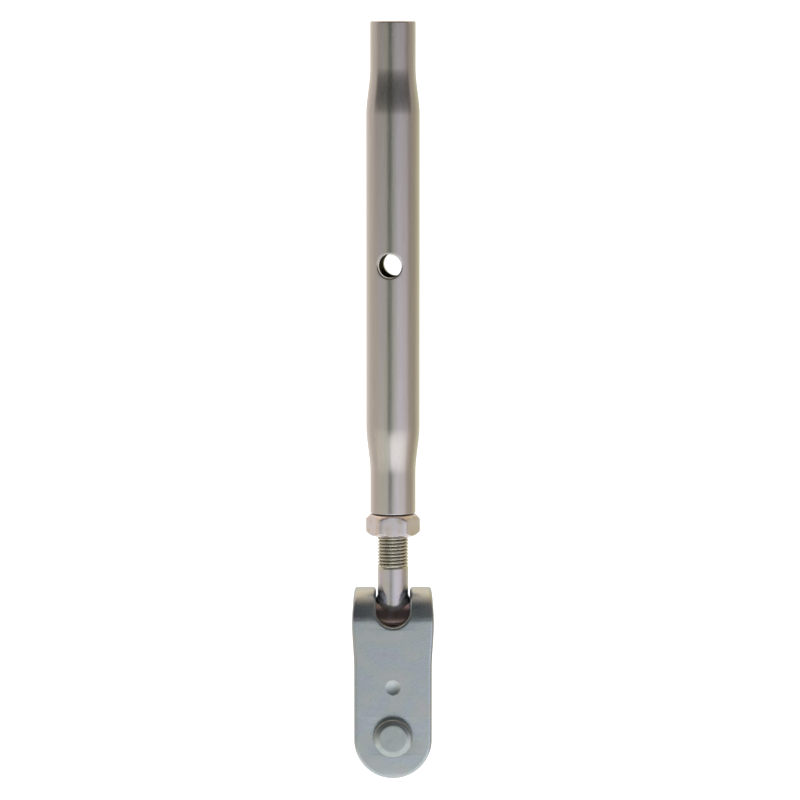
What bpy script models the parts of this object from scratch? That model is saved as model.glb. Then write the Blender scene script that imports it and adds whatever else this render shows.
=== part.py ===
"""Closed-body rigging turnbuckle with a toggle fork on its lower stud.

The origin is the centre of the body's top end, where the shroud's stud screws in. +Z runs up
the body's axis, the clevis pin lies along Y with its head at -Y, and X is across the fork.
"""
import math

import bmesh
import bpy
from mathutils import Matrix, Vector

# Driving dimensions, in metres. Sizes that must agree are worked out from these below.
CONTACT_GAP = 0.0003        # left between faces that touch on the real object

BODY_LENGTH = 0.1519
BODY_DIAMETER = 0.0165
BODY_BORE = 0.0120
NECK_DIAMETER = 0.0140
UPPER_NECK_LENGTH = 0.0143  # straight part of each swaged end
LOWER_NECK_LENGTH = 0.0126
TAPER_LENGTH = 0.0145       # from neck to full diameter
NECK_THREAD_LENGTH = 0.0190  # bore at thread size, from each end
BORE_MOUTH_CHAMFER = 0.0004
BODY_EDGE_ROUND = 0.0005
CROSS_HOLE_DIAMETER = 0.0073
CROSS_HOLE_BELOW_TOP = 0.0749
CROSS_HOLE_TURN = math.radians(8.0)  # the body's turn about Z when the nut is tight

STUD_DIAMETER = 0.009525    # 3/8 inch, 24 threads to the inch
STUD_CLEARANCE = 0.00015    # radial, in the necks and the nut
STUD_IN_BODY = 0.060        # stud inside the body at rest
STUD_TIP_CHAMFER = 0.0010
BODY_TO_TOGGLE_AXIS = 0.0331

NUT_ACROSS_FLATS = 0.0147
NUT_HEIGHT = 0.0066
NUT_TOP_CONE = math.radians(48)     # corners turned off, from the face
NUT_BOTTOM_CONE = math.radians(38)
NUT_TOP_RING = 0.0003       # the flat ring's edge, inside the width across flats
NUT_BOTTOM_RING = 0.0005
NUT_BORE_CHAMFER = 0.0006

T_HEAD_DIAMETER = 0.0120
T_HEAD_LENGTH = 0.0220
T_HEAD_CHAMFER = 0.0010
T_HEAD_CLEARANCE = 0.00035  # radial, under the bend of the fork

STRAP_THICKNESS = 0.0036
CROWN_WIDTH = 0.0238        # across X, at the top of the bend
SHOULDER_WIDTH = 0.0253     # where the bend runs into the cheeks
CHEEK_WIDTH = 0.0240
SHOULDER_FADE = 0.0145      # down the cheek, from shoulder to cheek width
END_BELOW_PIN = 0.0011      # centre of the rounded end, below the pin
SLOT_CLEARANCE = 0.00045    # each side of the shank
SLOT_BELOW_AXIS = 0.0013    # the slot's rounded ends, below the bend's axis
TOGGLE_AXIS_TO_PIN = 0.0353
TANG_CLEARANCE = 0.0010     # between the chainplate's tang and the T-head

PIN_DIAMETER = 0.0095
PIN_CLEARANCE = 0.00015     # radial, in the cheeks
PIN_HEAD_DIAMETER = 0.0121
PIN_HEAD_HEIGHT = 0.0036
PIN_HEAD_CHAMFER = 0.0015
PIN_TAIL = 0.0055           # past the rear cheek
PIN_TAIL_CHAMFER = 0.0009

SPLIT_PIN_DIAMETER = 0.0023  # over both legs
SPLIT_PIN_CLEARANCE = 0.00025
SPLIT_PIN_LEG = 0.0155      # below the eye
SPLIT_PIN_EYE_DIAMETER = 0.0048
SPLIT_PIN_SET_BACK = 0.00125  # from the rear cheek to the split pin

ROUND_STEPS = 48            # facets round the body, stud and pin

# Places along Z and Y, from the sizes above.
BODY_END_Z = -BODY_LENGTH
NUT_TOP_Z = BODY_END_Z - CONTACT_GAP
NUT_BOTTOM_Z = NUT_TOP_Z - NUT_HEIGHT
TOGGLE_AXIS_Z = BODY_END_Z - BODY_TO_TOGGLE_AXIS
PIN_Z = TOGGLE_AXIS_Z - TOGGLE_AXIS_TO_PIN
STUD_RADIUS = STUD_DIAMETER / 2
STUD_BORE_RADIUS = STUD_RADIUS + STUD_CLEARANCE
STRAP_INNER = T_HEAD_DIAMETER / 2 + T_HEAD_CLEARANCE
STRAP_OUTER = STRAP_INNER + STRAP_THICKNESS
SLOT_WIDTH = STUD_DIAMETER + 2 * SLOT_CLEARANCE
PIN_HOLE_DIAMETER = PIN_DIAMETER + 2 * PIN_CLEARANCE
PIN_HEAD_Y = -STRAP_OUTER - CONTACT_GAP
PIN_TAIL_Y = STRAP_OUTER + PIN_TAIL
SPLIT_PIN_HOLE = SPLIT_PIN_DIAMETER + 2 * SPLIT_PIN_CLEARANCE
SPLIT_PIN_WIRE = SPLIT_PIN_DIAMETER / 4       # each leg's radius
SPLIT_PIN_Y = STRAP_OUTER + SPLIT_PIN_SET_BACK + SPLIT_PIN_WIRE


def clear_scene():
    for old in list(bpy.data.objects):
        bpy.data.objects.remove(old, do_unlink=True)


def new_collection(name):
    made = bpy.data.collections.new(name)
    bpy.context.scene.collection.children.link(made)
    return made


def metal(name, colour, roughness):
    made = bpy.data.materials.new(name)
    made.use_nodes = True
    shader = made.node_tree.nodes["Principled BSDF"]
    shader.inputs["Base Color"].default_value = (*colour, 1.0)
    shader.inputs["Metallic"].default_value = 1.0
    shader.inputs["Roughness"].default_value = roughness
    return made


def add_object(name, data, collection, material=None, place=None):
    made = bpy.data.objects.new(name, data)
    made.matrix_world = place or Matrix.Identity(4)
    collection.objects.link(made)
    if material:
        data.materials.append(material)
    return made


def turned(name, profile, collection, material=None, place=None, steps=ROUND_STEPS):
    """A solid of revolution about its own Z. The profile is (radius, height) points that start
    and end on the axis, or that close on themselves, and run down the outer side."""
    shape = bmesh.new()
    ring = [shape.verts.new((radius, 0.0, height)) for radius, height in profile]
    for first, second in zip(ring, ring[1:]):
        shape.edges.new((first, second))
    if profile[0][0] > 0.0:
        shape.edges.new((ring[-1], ring[0]))
    mesh = bpy.data.meshes.new(name)
    shape.to_mesh(mesh)
    shape.free()
    made = add_object(name, mesh, collection, material, place)
    screw = made.modifiers.new("turn", "SCREW")
    screw.axis = "Z"
    screw.steps = steps
    screw.render_steps = steps
    screw.use_merge_vertices = True
    screw.merge_threshold = 0.00001
    screw.use_smooth_shade = True
    return made


def flat_outline(name, points, thickness, collection, material=None, place=None):
    """A closed 2D outline in its own XY plane, made solid to both sides of that plane."""
    curve = bpy.data.curves.new(name, "CURVE")
    curve.dimensions = "2D"
    curve.fill_mode = "BOTH"
    curve.extrude = thickness / 2
    line = curve.splines.new("POLY")
    line.points.add(len(points) - 1)
    for point, (across, along) in zip(line.points, points):
        point.co = (across, along, 0.0, 1.0)
    line.use_cyclic_u = True
    return curve_to_mesh(add_object(name, curve, collection, None, place), material, collection)


def curve_to_mesh(curve_object, material, collection):
    """The curve's evaluated mesh, welded to one closed body, as an object in the curve's place."""
    bpy.context.view_layer.update()
    evaluated = curve_object.evaluated_get(bpy.context.evaluated_depsgraph_get())
    mesh = bpy.data.meshes.new_from_object(evaluated)
    name, place = curve_object.name, curve_object.matrix_world.copy()
    bpy.data.objects.remove(curve_object, do_unlink=True)
    shape = bmesh.new()
    shape.from_mesh(mesh)
    bmesh.ops.remove_doubles(shape, verts=shape.verts, dist=0.00001)
    bmesh.ops.recalc_face_normals(shape, faces=shape.faces)
    shape.to_mesh(mesh)
    shape.free()
    return add_object(name, mesh, collection, material, place)


def cut(target, cutter, operation="DIFFERENCE"):
    """Boolean the cutter into the target. The cutter stays in the file as a wire guide."""
    boolean = target.modifiers.new(cutter.name, "BOOLEAN")
    boolean.operation = operation
    boolean.solver = "EXACT"
    boolean.object = cutter
    cutter.hide_render = True
    cutter.display_type = "WIRE"


def smooth_round_faces(target, sharp_from=math.radians(30)):
    target.data.shade_smooth()
    target.data.set_sharp_from_angle(angle=sharp_from)


def arc(centre, radius, start, end, steps):
    """Points along an arc, both ends included, at angles in radians."""
    across, along = centre
    turns = [start + (end - start) * step / steps for step in range(steps + 1)]
    return [(across + radius * math.cos(turn), along + radius * math.sin(turn)) for turn in turns]


def ease(share):
    """0 to 1 with no corner at either end."""
    share = min(max(share, 0.0), 1.0)
    return share * share * (3.0 - 2.0 * share)


def neck_outside(neck_length):
    """Outside of one swaged end, from its face to full diameter: radius and depth."""
    neck, full = NECK_DIAMETER / 2, BODY_DIAMETER / 2
    taper_steps = 8
    points = [
        (neck - BODY_EDGE_ROUND, 0.0),
        (neck - BODY_EDGE_ROUND * 0.3, BODY_EDGE_ROUND * 0.3),
        (neck, BODY_EDGE_ROUND),
    ]
    for step in range(taper_steps + 1):
        share = step / taper_steps
        points.append((neck + (full - neck) * ease(share), neck_length + TAPER_LENGTH * share))
    return points


def neck_inside():
    """Bore of one swaged end, from its mouth to the body's bore: radius and depth."""
    bore = BODY_BORE / 2
    return [
        (STUD_BORE_RADIUS + BORE_MOUTH_CHAMFER, 0.0),
        (STUD_BORE_RADIUS, BORE_MOUTH_CHAMFER),
        (STUD_BORE_RADIUS, NECK_THREAD_LENGTH),
        (bore, NECK_THREAD_LENGTH + abs(bore - STUD_BORE_RADIUS)),
    ]


def body_section():
    """Half section of the tube: down the outside from the top, then back up the bore."""
    down = [(radius, -depth) for radius, depth in neck_outside(UPPER_NECK_LENGTH)]
    down += [(radius, BODY_END_Z + depth)
             for radius, depth in reversed(neck_outside(LOWER_NECK_LENGTH))]
    up = [(radius, BODY_END_Z + depth) for radius, depth in neck_inside()]
    up += [(radius, -depth) for radius, depth in reversed(neck_inside())]
    return down + up


def build_body(parts, cutters):
    body = turned("body_tube", body_section(), parts, metal("body_steel", (0.60, 0.58, 0.57), 0.22))
    place = Matrix.Translation((0.0, 0.0, -CROSS_HOLE_BELOW_TOP))
    place = place @ Matrix.Rotation(-CROSS_HOLE_TURN, 4, "Z") @ Matrix.Rotation(math.pi / 2, 4, "X")
    reach = BODY_DIAMETER / 2 + 0.002
    hole = CROSS_HOLE_DIAMETER / 2
    profile = [(0.0, reach), (hole, reach), (hole, -reach), (0.0, -reach)]
    cut(body, turned("cross_hole", profile, cutters, place=place, steps=32))
    return body


def build_locknut(parts, cutters):
    """A turned blank with coned faces, milled to a hexagon with a flat to the front."""
    corner = NUT_ACROSS_FLATS / math.sqrt(3.0)
    top_ring = NUT_ACROSS_FLATS / 2 - NUT_TOP_RING
    bottom_ring = NUT_ACROSS_FLATS / 2 - NUT_BOTTOM_RING
    top_drop = (corner - top_ring) * math.tan(NUT_TOP_CONE)
    bottom_rise = (corner - bottom_ring) * math.tan(NUT_BOTTOM_CONE)
    half, bore, mouth = NUT_HEIGHT / 2, STUD_BORE_RADIUS, STUD_BORE_RADIUS + NUT_BORE_CHAMFER
    section = [(bore, half - NUT_BORE_CHAMFER), (mouth, half), (top_ring, half),
               (corner, half - top_drop), (corner, bottom_rise - half), (bottom_ring, -half),
               (mouth, -half), (bore, NUT_BORE_CHAMFER - half)]
    middle = Matrix.Translation((0.0, 0.0, (NUT_TOP_Z + NUT_BOTTOM_Z) / 2))
    nut = turned("locknut", section, parts, metal("nut_steel", (0.62, 0.58, 0.54), 0.30), middle)
    hexagon = [(corner * math.cos(turn), corner * math.sin(turn))
               for turn in (math.radians(60 * side) for side in range(6))]
    cut(nut, flat_outline("nut_hexagon", hexagon, NUT_HEIGHT + 0.002, cutters, None, middle),
        "INTERSECT")
    return nut


def build_t_bolt(parts, cutters):
    """Stud and shank in one with a T-head along X. The origin is on the T-head's axis."""
    tip = STUD_IN_BODY + BODY_TO_TOGGLE_AXIS
    stud = [(0.0, tip), (STUD_RADIUS - STUD_TIP_CHAMFER, tip), (STUD_RADIUS, tip - STUD_TIP_CHAMFER),
            (STUD_RADIUS, 0.0), (0.0, 0.0)]
    place = Matrix.Translation((0.0, 0.0, TOGGLE_AXIS_Z))
    bolt = turned("t_bolt", stud, parts, metal("stud_steel", (0.50, 0.48, 0.42), 0.28), place)
    radius, half = T_HEAD_DIAMETER / 2, T_HEAD_LENGTH / 2
    head = [(0.0, half), (radius - T_HEAD_CHAMFER, half), (radius, half - T_HEAD_CHAMFER),
            (radius, -half + T_HEAD_CHAMFER), (radius - T_HEAD_CHAMFER, -half), (0.0, -half)]
    across = place @ Matrix.Rotation(math.pi / 2, 4, "Y")
    cut(bolt, turned("t_head", head, cutters, place=across), "UNION")
    return bolt


def fork_half_width(height):
    """Half the strap's width at a height over the clevis pin, above the rounded end."""
    crown, shoulder, cheek = CROWN_WIDTH / 2, SHOULDER_WIDTH / 2, CHEEK_WIDTH / 2
    over = height - TOGGLE_AXIS_TO_PIN
    if over >= 0.0:
        share = over / STRAP_OUTER
        return shoulder + (crown - shoulder) * share * share
    return shoulder + (cheek - shoulder) * ease(-over / SHOULDER_FADE)


def fork_outline():
    """The fork seen from the front, in X and height over the clevis pin, anticlockwise."""
    top = TOGGLE_AXIS_TO_PIN + STRAP_OUTER + 0.001
    fade_end = TOGGLE_AXIS_TO_PIN - SHOULDER_FADE
    steps = 12
    heights = [fade_end + (TOGGLE_AXIS_TO_PIN - fade_end) * step / steps for step in range(steps)]
    heights += [TOGGLE_AXIS_TO_PIN + (top - TOGGLE_AXIS_TO_PIN) * step / steps
                for step in range(steps + 1)]
    right = [(fork_half_width(height), height) for height in heights]
    left = [(-across, height) for across, height in reversed(right)]
    return right + left + arc((0.0, -END_BELOW_PIN), CHEEK_WIDTH / 2, math.pi, 2 * math.pi, 24)


def strap_section():
    """The strap seen from the side, in Y and height over the clevis pin: a U upside down. Each
    inner face is divided where the tang's bearing face starts, clear of the T-head."""
    low = -END_BELOW_PIN - CHEEK_WIDTH / 2 - 0.001
    bearing = TOGGLE_AXIS_TO_PIN - T_HEAD_DIAMETER / 2 - TANG_CLEARANCE
    centre = (0.0, TOGGLE_AXIS_TO_PIN)
    outside = arc(centre, STRAP_OUTER, 0.0, math.pi, 32)
    inside = arc(centre, STRAP_INNER, math.pi, 0.0, 32)
    return ([(STRAP_OUTER, low)] + outside
            + [(-STRAP_OUTER, low), (-STRAP_INNER, low), (-STRAP_INNER, bearing)] + inside
            + [(STRAP_INNER, bearing), (STRAP_INNER, low)])


def build_fork(parts, cutters):
    """A strap bent to a U, trimmed to its outline, slotted for the shank and drilled. Its origin
    is on the T-head's axis, where it swings."""
    steel = metal("fork_steel", (0.36, 0.39, 0.42), 0.38)
    toggle = Matrix.Translation((0.0, 0.0, TOGGLE_AXIS_Z))
    from_pin = Matrix.Translation((0.0, 0.0, -TOGGLE_AXIS_TO_PIN))
    upright = Matrix.Rotation(math.pi / 2, 4, "X")
    side_on = Matrix.Rotation(math.pi / 2, 4, "Z") @ upright
    strap_blank = flat_outline("toggle_fork", strap_section(), SHOULDER_WIDTH + 0.002, parts, steel,
                               from_pin @ side_on)
    strap_blank.data.transform(strap_blank.matrix_world)
    strap_blank.matrix_world = toggle
    deep = 2 * STRAP_OUTER + 0.002
    outline = flat_outline("fork_outline", fork_outline(), deep, cutters, None,
                           toggle @ from_pin @ upright)
    cut(strap_blank, outline, "INTERSECT")
    end_radius = SLOT_WIDTH / 2
    low = -SLOT_BELOW_AXIS + end_radius
    high = STRAP_OUTER + 0.002
    slot = [(end_radius, high), (-end_radius, high)]
    slot += arc((0.0, low), end_radius, math.pi, 2 * math.pi, 16)
    cut(strap_blank, flat_outline("shank_slot", slot, deep, cutters, None, toggle @ upright))
    reach = deep / 2
    hole = PIN_HOLE_DIAMETER / 2
    profile = [(0.0, reach), (hole, reach), (hole, -reach), (0.0, -reach)]
    pin_place = Matrix.Translation((0.0, 0.0, PIN_Z)) @ upright
    cut(strap_blank, turned("pin_hole", profile, cutters, place=pin_place))
    return strap_blank


def build_clevis_pin(parts, cutters):
    """A headed pin, turned about its own Z, which lies along -Y here: head first."""
    steel = metal("pin_steel", (0.45, 0.48, 0.49), 0.30)
    place = Matrix.Translation((0.0, 0.0, PIN_Z)) @ Matrix.Rotation(math.pi / 2, 4, "X")
    head, shank = PIN_HEAD_DIAMETER / 2, PIN_DIAMETER / 2
    face = -PIN_HEAD_Y + PIN_HEAD_HEIGHT
    profile = [
        (0.0, face),
        (head - PIN_HEAD_CHAMFER, face),
        (head - PIN_HEAD_CHAMFER * 0.3, face - PIN_HEAD_CHAMFER * 0.35),
        (head, face - PIN_HEAD_CHAMFER),
        (head, -PIN_HEAD_Y),
        (shank, -PIN_HEAD_Y),
        (shank, -PIN_TAIL_Y + PIN_TAIL_CHAMFER),
        (shank - PIN_TAIL_CHAMFER, -PIN_TAIL_Y),
        (0.0, -PIN_TAIL_Y),
    ]
    pin = turned("clevis_pin", profile, parts, steel, place)
    reach = shank + 0.001
    hole = SPLIT_PIN_HOLE / 2
    drilled = [(0.0, reach), (hole, reach), (hole, -reach), (0.0, -reach)]
    upright = Matrix.Translation((0.0, SPLIT_PIN_Y, PIN_Z))
    cut(pin, turned("split_pin_hole", drilled, cutters, place=upright, steps=20))
    return pin


def build_split_pin(parts):
    """One wire doubled back on itself: an eye above the clevis pin and two straight legs."""
    seat = PIN_DIAMETER / 2 + CONTACT_GAP
    wire = SPLIT_PIN_WIRE
    eye_radius = SPLIT_PIN_EYE_DIAMETER / 2 - wire
    legs_apart = wire + 0.00004
    neck = math.asin(legs_apart / eye_radius)
    eye_centre = (0.0, seat + wire + eye_radius * math.cos(neck))
    tip = seat - SPLIT_PIN_LEG
    eye = arc(eye_centre, eye_radius, -math.pi / 2 + neck, 1.5 * math.pi - neck, 16)
    route = [(legs_apart, tip)] + eye + [(-legs_apart, tip)]
    curve = bpy.data.curves.new("split_pin", "CURVE")
    curve.dimensions = "3D"
    curve.bevel_depth = wire
    curve.bevel_resolution = 2
    curve.use_fill_caps = True
    line = curve.splines.new("POLY")
    line.points.add(len(route) - 1)
    for point, (across, height) in zip(line.points, route):
        point.co = (across, 0.0, height, 1.0)
    place = Matrix.Translation((0.0, SPLIT_PIN_Y, PIN_Z))
    pin = add_object("split_pin", curve, parts, None, place)
    return curve_to_mesh(pin, metal("split_pin_steel", (0.55, 0.55, 0.53), 0.30), parts)


clear_scene()
part_collection = new_collection("rigging_turnbuckle")
cutter_collection = new_collection("cutters")
nut = build_locknut(part_collection, cutter_collection)
build_body(part_collection, cutter_collection)
build_t_bolt(part_collection, cutter_collection)
fork = build_fork(part_collection, cutter_collection)
build_clevis_pin(part_collection, cutter_collection)
split_pin = build_split_pin(part_collection)
for flat_sided in (nut, fork, split_pin):
    smooth_round_faces(flat_sided)
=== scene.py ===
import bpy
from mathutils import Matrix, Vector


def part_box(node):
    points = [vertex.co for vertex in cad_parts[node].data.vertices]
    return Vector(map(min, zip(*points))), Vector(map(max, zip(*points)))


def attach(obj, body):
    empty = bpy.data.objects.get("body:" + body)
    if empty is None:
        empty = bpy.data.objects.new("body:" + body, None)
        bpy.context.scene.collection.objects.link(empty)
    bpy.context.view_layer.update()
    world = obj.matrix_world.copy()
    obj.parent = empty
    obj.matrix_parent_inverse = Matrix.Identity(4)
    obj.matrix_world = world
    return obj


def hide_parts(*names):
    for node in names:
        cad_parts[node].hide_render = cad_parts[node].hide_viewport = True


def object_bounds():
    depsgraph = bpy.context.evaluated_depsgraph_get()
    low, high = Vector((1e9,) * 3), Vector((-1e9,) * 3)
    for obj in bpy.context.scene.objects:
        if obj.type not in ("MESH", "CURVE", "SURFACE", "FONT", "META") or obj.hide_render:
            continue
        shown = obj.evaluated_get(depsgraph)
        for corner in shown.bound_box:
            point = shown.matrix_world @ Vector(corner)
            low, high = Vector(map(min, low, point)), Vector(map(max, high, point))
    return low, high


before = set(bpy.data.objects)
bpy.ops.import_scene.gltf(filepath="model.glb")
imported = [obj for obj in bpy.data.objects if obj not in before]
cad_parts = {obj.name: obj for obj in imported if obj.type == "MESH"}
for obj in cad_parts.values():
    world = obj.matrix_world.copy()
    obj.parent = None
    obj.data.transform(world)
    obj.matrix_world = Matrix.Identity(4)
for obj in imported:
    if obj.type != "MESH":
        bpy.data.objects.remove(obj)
cad_box = [list(corner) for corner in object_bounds()]

import math

import bmesh
import bpy
from mathutils import Vector


# ---- Studio: the turnbuckle hangs clear of a pale floor, with white paper behind and over
# it and a darker room in front, which is what gives polished steel its stripes.

def linear(hex_colour):
    """sRGB hex to the linear colour that Blender works in."""
    shares = [int(hex_colour[place:place + 2], 16) / 255 for place in (1, 3, 5)]
    light = [c / 12.92 if c <= 0.04045 else ((c + 0.055) / 1.055) ** 2.4 for c in shares]
    return (*light, 1.0)


def add_node(tree, kind, sockets=None, stops=None, **settings):
    """One shader node with its settings, socket values or links, and colour or grey stops."""
    made = tree.nodes.new("ShaderNode" + kind)
    for name, value in settings.items():
        setattr(made, name, value)
    for name, value in (sockets or {}).items():
        if isinstance(value, bpy.types.NodeSocket):
            tree.links.new(value, made.inputs[name])
        else:
            made.inputs[name].default_value = value
    for number, (place, tone) in enumerate(stops or ()):
        stop = (made.color_ramp.elements[number] if number < 2
                else made.color_ramp.elements.new(place))
        stop.position = place
        stop.color = linear(tone) if isinstance(tone, str) else (tone, tone, tone, 1.0)
    return made


scene = bpy.context.scene
scene.view_settings.view_transform = "Standard"

CAMERA_DISTANCE = 1.2       # level with the body's top end
CAMERA_PITCH = 4.618        # degrees down
camera_data = bpy.data.cameras.new("camera")
camera_data.sensor_width = 36.0
camera_data.lens = 175.5
camera_data.shift_x = 0.0088
camera_data.shift_y = -0.08
camera = bpy.data.objects.new("camera", camera_data)
camera.location = (0.0, -CAMERA_DISTANCE, 0.0)
camera.rotation_euler = (math.radians(90 - CAMERA_PITCH), 0.0, 0.0)
scene.collection.objects.link(camera)
scene.camera = camera

# Tones that the steel sees round the horizon, from straight behind, by the left, the front and
# the right. Degrees from the front, right positive.
ROOM_TONES = [(-180, "#F2EBE2"), (-140, "#F4EADF"), (-112, "#D8CFC6"), (-85, "#CBC2B9"),
              (-45, "#C6C4BC"), (-26, "#BFBFB8"), (-21, "#7E827C"), (-9, "#747872"),
              (-3, "#AEB1AC"), (8, "#C6C6C6"), (22, "#DCDAE4"), (58, "#D9D2DC"),
              (76, "#B5AAA2"), (105, "#B3A994"), (135, "#DAD5B8"), (180, "#F0EBDC")]
# How bright the front of the room is by height, against its tone near table level.
FRONT_BY_HEIGHT = [(-90, 0.8), (-20, 0.8), (-8, 0.71), (-3.6, 0.57), (0, 0.365), (6, 0.174),
                   (16, 0.07), (62, 0.07), (76, "#C7AFA0"), (90, "#D7C4B0")]
# And how bright the back of the room is.
BACK_BY_HEIGHT = [(-90, 0.63), (-8, 0.61), (0, 0.574), (20, 0.574), (48, "#F0E0CE"),
                  (90, "#F0E0CE")]
# How much a white table in front shows, low down, by degrees from the front.
WHITE_TABLE = [(-34, 0.0), (-4, 1.0), (40, 0.8), (75, 0.0)]
TABLE_FROM, TABLE_FULL = -0.14, -0.30     # how far down it starts and is whole, in radians
ROOM_GAIN, PAPER_GAIN = 1.75, 1.3

room = bpy.data.worlds.new("studio_room")
room.use_nodes = True
tree = room.node_tree
tree.nodes.clear()
toward = add_node(tree, "TexCoord").outputs["Generated"]
split = add_node(tree, "SeparateXYZ", {"Vector": toward}).outputs
nearer = add_node(tree, "Math", {0: split["Y"], 1: -1.0}, operation="MULTIPLY").outputs[0]
turn = add_node(tree, "Math", {0: split["X"], 1: nearer}, operation="ARCTAN2").outputs[0]
height = add_node(tree, "Math", {0: split["Z"]}, operation="ARCSINE").outputs[0]
round_room = add_node(tree, "MapRange", {"Value": turn, "From Min": -math.pi, "From Max": math.pi})
up_room = add_node(tree, "MapRange",
                   {"Value": height, "From Min": -math.pi / 2, "From Max": math.pi / 2})
tones = add_node(tree, "ValToRGB", {"Fac": round_room.outputs["Result"]},
                 stops=[((degrees + 180) / 360, tone) for degrees, tone in ROOM_TONES])
table_round = add_node(tree, "ValToRGB", {"Fac": round_room.outputs["Result"]},
                       stops=[((degrees + 180) / 360, share) for degrees, share in WHITE_TABLE])
below = add_node(tree, "MapRange", {"Value": height, "From Min": TABLE_FROM,
                                    "From Max": TABLE_FULL})
table_share = add_node(tree, "MixRGB", {"Fac": 1.0, "Color1": table_round.outputs["Color"],
                                        "Color2": below.outputs["Result"]},
                       blend_type="MULTIPLY")
tones_and_table = add_node(tree, "MixRGB", {"Fac": table_share.outputs["Color"],
                                            "Color1": tones.outputs["Color"],
                                            "Color2": linear("#F6F5F8")})
front_level = add_node(tree, "ValToRGB", {"Fac": up_room.outputs["Result"]},
                       stops=[((degrees + 90) / 180, level) for degrees, level in FRONT_BY_HEIGHT])
back_level = add_node(tree, "ValToRGB", {"Fac": up_room.outputs["Result"]},
                      stops=[((degrees + 90) / 180, level) for degrees, level in BACK_BY_HEIGHT])
behind = add_node(tree, "MapRange", {"Value": split["Y"], "From Min": -0.22, "From Max": 0.10},
                  interpolation_type="SMOOTHSTEP")
level = add_node(tree, "MixRGB", {"Fac": behind.outputs["Result"],
                                  "Color1": front_level.outputs["Color"],
                                  "Color2": back_level.outputs["Color"]})
seen = add_node(tree, "MixRGB", {"Fac": 1.0, "Color1": tones_and_table.outputs["Color"],
                                 "Color2": level.outputs["Color"]}, blend_type="MULTIPLY")
in_steel = add_node(tree, "Background", {"Color": seen.outputs["Color"], "Strength": ROOM_GAIN})
paper = add_node(tree, "Background", {"Color": (1.0, 1.0, 1.0, 1.0), "Strength": PAPER_GAIN})
ray = add_node(tree, "LightPath").outputs
room_light = add_node(tree, "MixShader", {0: ray["Is Glossy Ray"], 1: paper.outputs[0],
                                          2: in_steel.outputs[0]})
add_node(tree, "OutputWorld", {"Surface": room_light.outputs[0]})
scene.world = room

FLOOR_Z = cad_box[0][2] - 0.062       # clear of the fork at the stud's full reach
FLOOR_EDGES = ((-0.15, -0.17), (0.15, -0.17), (0.15, 0.20), (-0.15, 0.20))
floor_mesh = bpy.data.meshes.new("floor")
floor_mesh.from_pydata([(x, y, FLOOR_Z) for x, y in FLOOR_EDGES], [], [(0, 1, 2, 3)])
floor = bpy.data.objects.new("floor", floor_mesh)
scene.collection.objects.link(floor)
pale_paper = bpy.data.materials.new("pale_paper")
pale_paper.use_nodes = True
tree = pale_paper.node_tree
tree.nodes["Principled BSDF"].inputs["Base Color"].default_value = linear("#F4F3F0")
tree.nodes["Principled BSDF"].inputs["Roughness"].default_value = 0.9
floor_mesh.materials.append(pale_paper)


# ---- Body: a closed stainless tube, its two ends swaged down to a neck and tapped, the upper one
# left-handed. A hole is drilled through both walls for the bar that turns it. The outside is
# polished along its length.

STUD_RADIUS = 0.009525 / 2
BORE_RADIUS = STUD_RADIUS + 0.00015
THREAD_PITCH = 0.0254 / 24
THREAD_DEPTH = 0.0006
THREAD_ROWS = 8              # rows of corners in one pitch
MOUTH_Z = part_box("body_tube")[1].z
BODY_END_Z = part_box("body_tube")[0].z
TUBE_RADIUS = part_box("body_tube")[1].x
NECK_RADIUS = 0.0070
TUBE_BORE_RADIUS = 0.0060
UPPER_NECK, LOWER_NECK, TAPER = 0.0143, 0.0126, 0.0145
TAPPED = 0.019
DRILL_RADIUS, DRILL_Z = 0.00365, -0.0749
DRILL_TURN = math.radians(-98.0)
TUBE_COLUMNS = 96
WINDOW_COLUMNS, WINDOW_ROWS = 13, 10     # each way from the drilled hole's centre
WINDOW_STEP = 0.00056
WINDOW_TOP = DRILL_Z + WINDOW_ROWS * WINDOW_STEP
WINDOW_LOW = DRILL_Z - WINDOW_ROWS * WINDOW_STEP


def ease(share):
    """A share from 0 to 1, made to start and end gently."""
    share = min(max(share, 0.0), 1.0)
    return share * share * (3.0 - 2.0 * share)


def joined(shape, first, second):
    """Quads between two closed loops of the same length."""
    for number in range(len(first)):
        after = (number + 1) % len(first)
        shape.faces.new((first[number], first[after], second[after], second[number]))


def add_skin(shape, surface, columns, rows, openings=()):
    """Quads all round a surface given by column and row, less the openings. Returns its corners."""
    corners = {}
    for row in range(rows + 1):
        for column in range(columns):
            if not any(left < column < right and low < row < high
                       for left, right, low, high in openings):
                corners[column, row] = shape.verts.new(surface(column, row))
    for row in range(rows):
        for column in range(columns):
            if not any(left <= column < right and low <= row < high
                       for left, right, low, high in openings):
                after = (column + 1) % columns
                shape.faces.new((corners[column, row], corners[column, row + 1],
                                 corners[after, row + 1], corners[after, row]))
    return corners


def border(opening):
    """The grid places round an opening, once round."""
    left, right, low, high = opening
    return ([(column, low) for column in range(left, right)]
            + [(right, row) for row in range(low, high)]
            + [(column, high) for column in range(right, left, -1)]
            + [(left, row) for row in range(high, low, -1)])


def add_window(shape, corners, surface, opening, edge, rings):
    """Rings from an opening's border in to its edge, given as grid places. Returns the edge."""
    places = border(opening)
    outer = [corners[place] for place in places]
    for ring in range(1, rings + 1):
        share = ring / rings
        inner = [shape.verts.new(surface(column + (to_column - column) * share,
                                         row + (to_row - row) * share))
                 for (column, row), (to_column, to_row) in zip(places, edge)]
        joined(shape, outer, inner)
        outer = inner
    return outer


def between(profile, row):
    """Radius and height at a row of a profile, which may fall between two of its points."""
    first = min(int(row), len(profile) - 2)
    share = row - first
    return tuple(a + (b - a) * share for a, b in zip(profile[first], profile[first + 1]))


def run(start, end, steps):
    """Even steps from start up to, but not including, end."""
    return [start + (end - start) * step / steps for step in range(steps)]


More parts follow.
